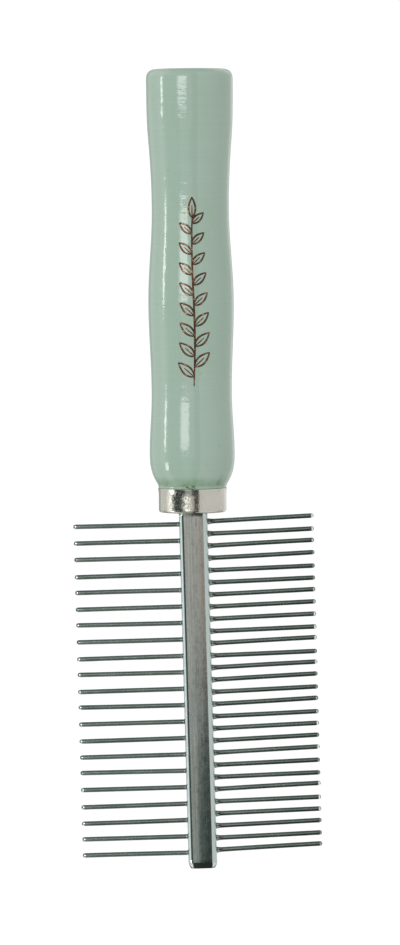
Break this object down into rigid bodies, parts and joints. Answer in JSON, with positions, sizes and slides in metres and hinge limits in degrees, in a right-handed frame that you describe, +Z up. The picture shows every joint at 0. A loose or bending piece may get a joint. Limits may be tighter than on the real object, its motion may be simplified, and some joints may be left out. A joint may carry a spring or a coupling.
{
  "type": "dematting comb",
  "caption": "Two-sided pet comb: a turned, lacquered handle, a plated ferrule and a straight spine with a coarse row and a fine row of round pins.",
  "frame": {"origin": "on the ground under the middle of the comb's box, as the comb lies on the handle's lower bulge and the spine's end", "axes": "+Y towards the handle's butt, +Z up, +X towards the fine row; the comb's own axis slopes 4.3 degrees down to the head"},
  "size_m": [0.0613, 0.1988, 0.0283],
  "materials": {
    "handle_lacquer": "glossy sage-green lacquer over turned wood",
    "ferrule_nickel": "polished nickel plate, warm",
    "spine_steel": "lengthwise brushed, polished edges",
    "pin_steel": "polished pin steel"
  },
  "bodies": {
    "root": {"handle": "handle_lacquer", "ferrule": "ferrule_nickel", "spine_bar": "spine_steel", "coarse_pin_01": "pin_steel", "coarse_pin_02": "pin_steel", "coarse_pin_03": "pin_steel", "coarse_pin_04": "pin_steel", "coarse_pin_05": "pin_steel", "coarse_pin_06": "pin_steel", "coarse_pin_07": "pin_steel", "coarse_pin_08": "pin_steel", "coarse_pin_09": "pin_steel", "coarse_pin_10": "pin_steel", "coarse_pin_11": "pin_steel", "coarse_pin_12": "pin_steel", "coarse_pin_13": "pin_steel", "coarse_pin_14": "pin_steel", "coarse_pin_15": "pin_steel", "coarse_pin_16": "pin_steel", "coarse_pin_17": "pin_steel", "coarse_pin_18": "pin_steel", "coarse_pin_19": "pin_steel", "coarse_pin_20": "pin_steel", "coarse_pin_21": "pin_steel", "fine_pin_01": "pin_steel", "fine_pin_02": "pin_steel", "fine_pin_03": "pin_steel", "fine_pin_04": "pin_steel", "fine_pin_05": "pin_steel", "fine_pin_06": "pin_steel", "fine_pin_07": "pin_steel", "fine_pin_08": "pin_steel", "fine_pin_09": "pin_steel", "fine_pin_10": "pin_steel", "fine_pin_11": "pin_steel", "fine_pin_12": "pin_steel", "fine_pin_13": "pin_steel", "fine_pin_14": "pin_steel", "fine_pin_15": "pin_steel", "fine_pin_16": "pin_steel", "fine_pin_17": "pin_steel", "fine_pin_18": "pin_steel", "fine_pin_19": "pin_steel", "fine_pin_20": "pin_steel", "fine_pin_21": "pin_steel", "fine_pin_22": "pin_steel", "fine_pin_23": "pin_steel", "fine_pin_24": "pin_steel", "fine_pin_25": "pin_steel", "fine_pin_26": "pin_steel", "fine_pin_27": "pin_steel", "fine_pin_28": "pin_steel"}
  },
  "joints": []
}
